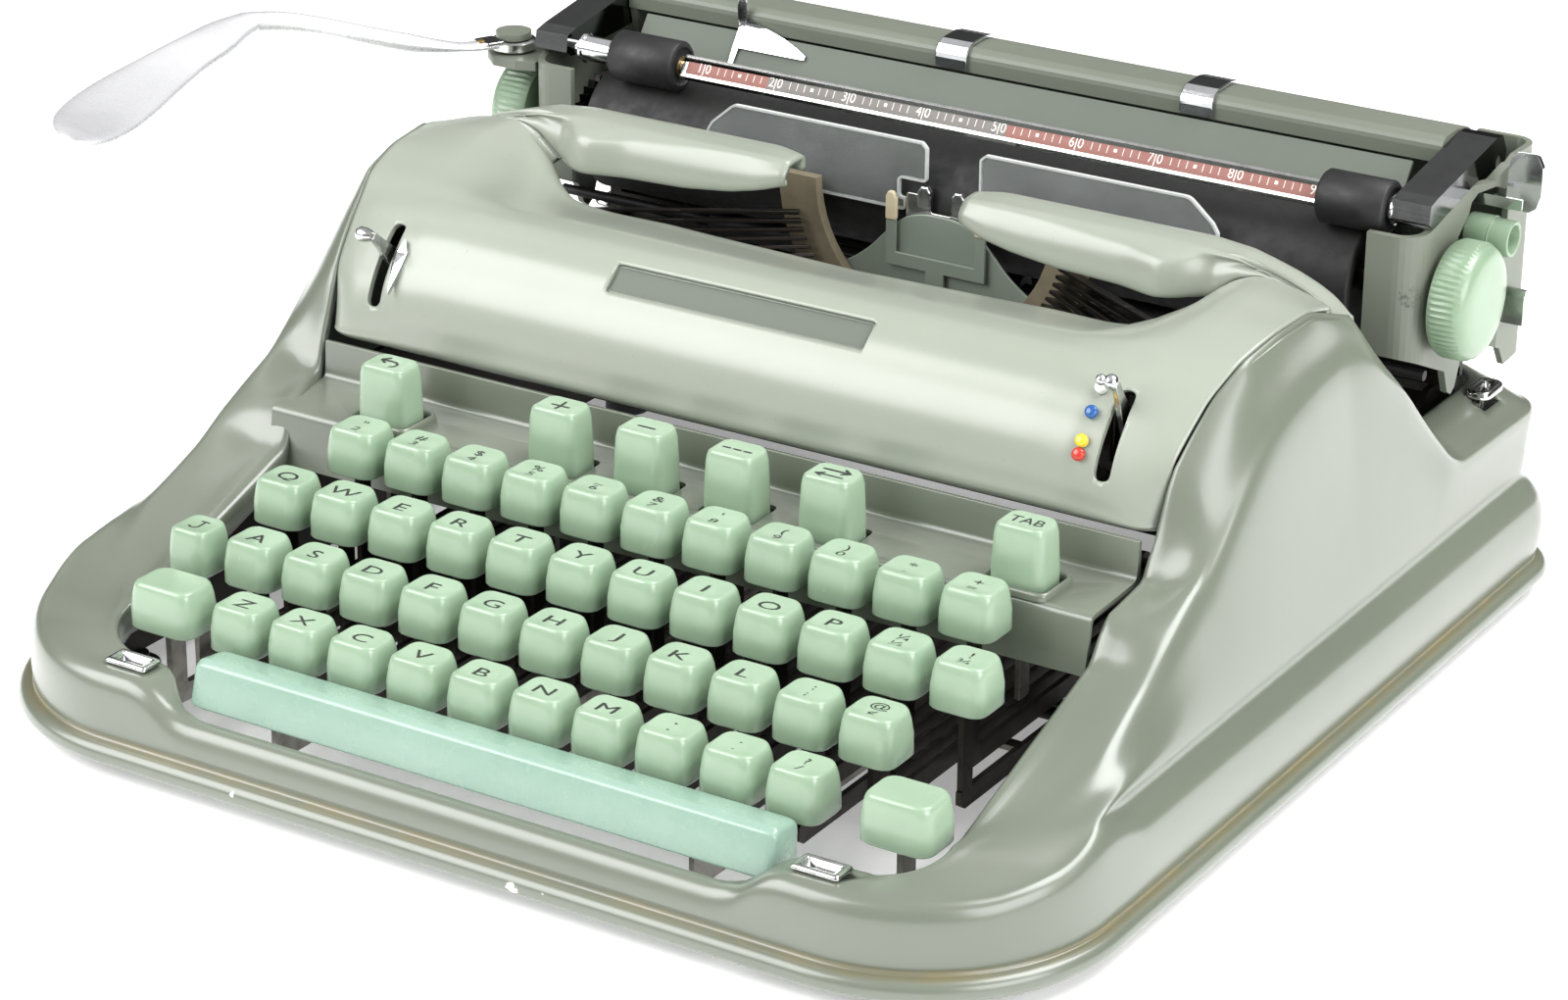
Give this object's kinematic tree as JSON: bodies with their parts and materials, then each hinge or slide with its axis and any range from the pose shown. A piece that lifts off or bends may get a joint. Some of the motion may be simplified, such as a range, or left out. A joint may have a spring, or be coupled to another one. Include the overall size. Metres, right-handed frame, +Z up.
{
  "type": "portable typewriter",
  "caption": "Portable manual typewriter with a rounded grey-green case, mint keys, long space bar, black platen and a chrome paper bail.",
  "frame": {"origin": "bottom centre of the bounding box, on the plane the rubber feet stand on", "axes": "+X to the right as seen by the typist, +Y to the rear of the machine, +Z up"},
  "size_m": [0.3758, 0.331, 0.142],
  "materials": {
    "case_paint": "satin",
    "cover_paint": "satin",
    "carriage_paint": "satin",
    "key_plastic": "gloss",
    "bar_plastic": "gloss",
    "knob_plastic": "satin",
    "bright_chrome": "polished",
    "lever_steel": "satin",
    "dark_steel": "satin",
    "black_rubber": "matte",
    "clear_plastic": "clear",
    "dot_enamel": "gloss"
  },
  "bodies": {
    "chassis": {"body_shell": "case_paint", "main_frame": "dark_steel", "rubber_feet": "black_rubber", "case_catches": "bright_chrome", "typebar_basket": "lever_steel", "type_segment": "dark_steel", "segment_shield": "carriage_paint", "type_guide": "bright_chrome", "card_holders": "clear_plastic", "ribbon_vibrator": "bright_chrome", "bell": "bright_chrome", "carriage_rail": "lever_steel"},
    "cover": {"top_cover": "cover_paint", "badge_plate": "cover_paint", "cover_brackets": "lever_steel", "pointer_ornament": "bright_chrome", "selector_dots": "dot_enamel"},
    "touch_control": {"touch_lever": "bright_chrome"},
    "ribbon_control": {"ribbon_selector": "bright_chrome"},
    "number_row": {"keys_number_row": "key_plastic", "levers_number_row": "lever_steel"},
    "upper_row": {"keys_upper_row": "key_plastic", "levers_upper_row": "lever_steel"},
    "home_row": {"keys_home_row": "key_plastic", "levers_home_row": "lever_steel"},
    "lower_row": {"keys_lower_row": "key_plastic", "levers_lower_row": "lever_steel"},
    "middle_key": {"live_key": "key_plastic"},
    "middle_typebar": {"live_typebar": "lever_steel"},
    "spool_left": {"ribbon_spool_left": "dark_steel"},
    "spool_right": {"ribbon_spool_right": "dark_steel"},
    "spring_drum": {"mainspring_drum": "lever_steel"},
    "escapement": {"escape_wheel": "lever_steel"},
    "carriage": {"carriage_frame": "dark_steel", "carriage_end_left": "carriage_paint", "carriage_end_right": "carriage_paint", "carriage_back": "carriage_paint", "paper_table": "carriage_paint", "rail_clips": "bright_chrome"},
    "guide": {"paper_guide": "bright_chrome"},
    "roller": {"platen": "black_rubber", "platen_shaft": "lever_steel", "knob_left": "knob_plastic", "knob_right": "knob_plastic"},
    "release_knob": {"small_knob": "knob_plastic"},
    "bail": {"paper_bail": "bright_chrome"},
    "bail_wheels": {"bail_rollers": "black_rubber"},
    "line_lever": {"return_lever": "bright_chrome"},
    "paper_release": {"paper_release_lever": "bright_chrome"},
    "carriage_release": {"carriage_release_lever": "bright_chrome"},
    "feed": {"feed_rollers": "black_rubber"},
    "spacer": {"space_bar": "bar_plastic"},
    "shifts": {"shift_keys": "key_plastic"},
    "lock": {"shift_lock": "key_plastic"},
    "backspace": {"key_backspace": "key_plastic"},
    "plus": {"key_plus": "key_plastic"},
    "minus": {"key_minus": "key_plastic"},
    "dashes": {"key_dashes": "key_plastic"},
    "arrows": {"key_arrows": "key_plastic"},
    "tab": {"key_tab": "key_plastic"}
  },
  "joints": [
    {"name": "number_row_press", "type": "hinge", "parent": "chassis", "child": "number_row", "pos_m": [0.02372, 0.0565, 0.024], "axis": [1, 0, 0], "range_deg": [0, 5.35], "stiffness_Nm_per_rad": 1, "springref_deg": -20.05},
    {"name": "upper_row_press", "type": "hinge", "parent": "chassis", "child": "upper_row", "pos_m": [0.02372, 0.0565, 0.024], "axis": [1, 0, 0], "range_deg": [0, 4.63], "stiffness_Nm_per_rad": 1, "springref_deg": -20.05},
    {"name": "home_row_press", "type": "hinge", "parent": "chassis", "child": "home_row", "pos_m": [0.02372, 0.0565, 0.024], "axis": [1, 0, 0], "range_deg": [0, 4.1], "stiffness_Nm_per_rad": 1, "springref_deg": -20.05},
    {"name": "lower_row_press", "type": "hinge", "parent": "chassis", "child": "lower_row", "pos_m": [0.02372, 0.0565, 0.024], "axis": [1, 0, 0], "range_deg": [0, 3.7], "stiffness_Nm_per_rad": 1, "springref_deg": -20.05},
    {"name": "middle_key_press", "type": "hinge", "parent": "chassis", "child": "middle_key", "pos_m": [0.02492, 0.0565, 0.024], "axis": [1, 0, 0], "range_deg": [0, 4.1], "stiffness_Nm_per_rad": 0.3, "springref_deg": -17.19},
    {"name": "middle_typebar_swing", "type": "hinge", "parent": "chassis", "child": "middle_typebar", "pos_m": [0.02372, 0.0765, 0.064], "axis": [-1, 0, 0], "range_deg": [0, 92]},
    {"name": "space_bar_press", "type": "hinge", "parent": "chassis", "child": "spacer", "pos_m": [0.02372, -0.0155, 0.011], "axis": [1, 0, 0], "range_deg": [0, 2.4], "stiffness_Nm_per_rad": 1, "springref_deg": -8.59},
    {"name": "shift_press", "type": "hinge", "parent": "chassis", "child": "shifts", "pos_m": [0.02372, -0.0155, 0.011], "axis": [1, 0, 0], "range_deg": [0, 3.4], "stiffness_Nm_per_rad": 0.5, "springref_deg": -6.88},
    {"name": "shift_lock_press", "type": "hinge", "parent": "chassis", "child": "lock", "pos_m": [-0.08868, -0.0155, 0.011], "axis": [1, 0, 0], "range_deg": [0, 4], "stiffness_Nm_per_rad": 0.2, "springref_deg": -6.88},
    {"name": "backspace_press", "type": "slide", "parent": "chassis", "child": "backspace", "axis": [0, 0, -1], "range_m": [0, 0.007], "stiffness_N_per_m": 60, "springref_m": -0.005},
    {"name": "plus_press", "type": "slide", "parent": "chassis", "child": "plus", "axis": [0, 0, -1], "range_m": [0, 0.007], "stiffness_N_per_m": 60, "springref_m": -0.005},
    {"name": "minus_press", "type": "slide", "parent": "chassis", "child": "minus", "axis": [0, 0, -1], "range_m": [0, 0.007], "stiffness_N_per_m": 60, "springref_m": -0.005},
    {"name": "dashes_press", "type": "slide", "parent": "chassis", "child": "dashes", "axis": [0, 0, -1], "range_m": [0, 0.007], "stiffness_N_per_m": 60, "springref_m": -0.005},
    {"name": "arrows_press", "type": "slide", "parent": "chassis", "child": "arrows", "axis": [0, 0, -1], "range_m": [0, 0.007], "stiffness_N_per_m": 60, "springref_m": -0.005},
    {"name": "tab_press", "type": "slide", "parent": "chassis", "child": "tab", "axis": [0, 0, -1], "range_m": [0, 0.007], "stiffness_N_per_m": 60, "springref_m": -0.005},
    {"name": "cover_lift", "type": "slide", "parent": "chassis", "child": "cover", "axis": [0, 0, 1], "range_m": [0, 0.04]},
    {"name": "touch_swing", "type": "hinge", "parent": "cover", "child": "touch_control", "pos_m": [-0.09027, -0.0155, 0.092], "axis": [1, 0, 0], "range_deg": [-16, 32]},
    {"name": "selector_swing", "type": "hinge", "parent": "cover", "child": "ribbon_control", "pos_m": [0.13772, -0.0155, 0.092], "axis": [1, 0, 0], "range_deg": [0, 48]},
    {"name": "spool_left_turn", "type": "hinge", "parent": "chassis", "child": "spool_left", "pos_m": [-0.08228, 0.0225, 0.068], "axis": [0, 0, 1], "continuous": true},
    {"name": "spool_right_turn", "type": "hinge", "parent": "chassis", "child": "spool_right", "pos_m": [0.12973, 0.0225, 0.068], "axis": [0, 0, 1], "continuous": true},
    {"name": "carriage_slide", "type": "slide", "parent": "chassis", "child": "carriage", "axis": [-1, 0, 0], "range_m": [-0.1, 0.1]},
    {"name": "drum_turn", "type": "hinge", "parent": "chassis", "child": "spring_drum", "pos_m": [-0.08128, 0.106, 0.038], "axis": [0, 0, 1], "range_deg": [-340, 340]},
    {"name": "escape_turn", "type": "hinge", "parent": "chassis", "child": "escapement", "pos_m": [0.04372, 0.0915, 0.042], "axis": [0, 1, 0], "range_deg": [-480, 480]},
    {"name": "guide_slide", "type": "slide", "parent": "carriage", "child": "guide", "axis": [1, 0, 0], "range_m": [-0.03, 0.04]},
    {"name": "platen_turn", "type": "hinge", "parent": "carriage", "child": "roller", "pos_m": [0.02372, 0.1045, 0.1015], "axis": [1, 0, 0], "continuous": true},
    {"name": "feed_turn", "type": "hinge", "parent": "carriage", "child": "feed", "pos_m": [0.02372, 0.1015, 0.0784], "axis": [1, 0, 0], "continuous": true},
    {"name": "release_knob_turn", "type": "hinge", "parent": "carriage", "child": "release_knob", "pos_m": [0.17372, 0.1231, 0.1142], "axis": [1, 0, 0], "continuous": true},
    {"name": "bail_lift", "type": "hinge", "parent": "carriage", "child": "bail", "pos_m": [0.02372, 0.1365, 0.1305], "axis": [-1, 0, 0], "range_deg": [0, 60]},
    {"name": "bail_wheels_turn", "type": "hinge", "parent": "bail", "child": "bail_wheels", "pos_m": [0.02372, 0.0955, 0.12675], "axis": [1, 0, 0], "continuous": true},
    {"name": "line_lever_swing", "type": "hinge", "parent": "carriage", "child": "line_lever", "pos_m": [-0.13328, 0.0965, 0.12], "axis": [0, 0, 1], "range_deg": [0, 38]},
    {"name": "paper_release_pull", "type": "hinge", "parent": "carriage", "child": "paper_release", "pos_m": [0.16553, 0.1295, 0.11], "axis": [1, 0, 0], "range_deg": [0, 9]},
    {"name": "carriage_release_push", "type": "hinge", "parent": "carriage", "child": "carriage_release", "pos_m": [0.17772, 0.1365, 0.091], "axis": [1, 0, 0], "range_deg": [0, 10], "stiffness_Nm_per_rad": 0.1, "springref_deg": -5.73}
  ],
  "couplings": [
    {"joint": "middle_typebar_swing", "follows": "middle_key_press", "ratio": 22.4},
    {"joint": "spool_right_turn", "follows": "spool_left_turn", "ratio": 1},
    {"joint": "drum_turn", "follows": "carriage_slide", "rad_per_m": 54.1},
    {"joint": "escape_turn", "follows": "carriage_slide", "rad_per_m": 83.3},
    {"joint": "feed_turn", "follows": "platen_turn", "ratio": -4.75}
  ]
}
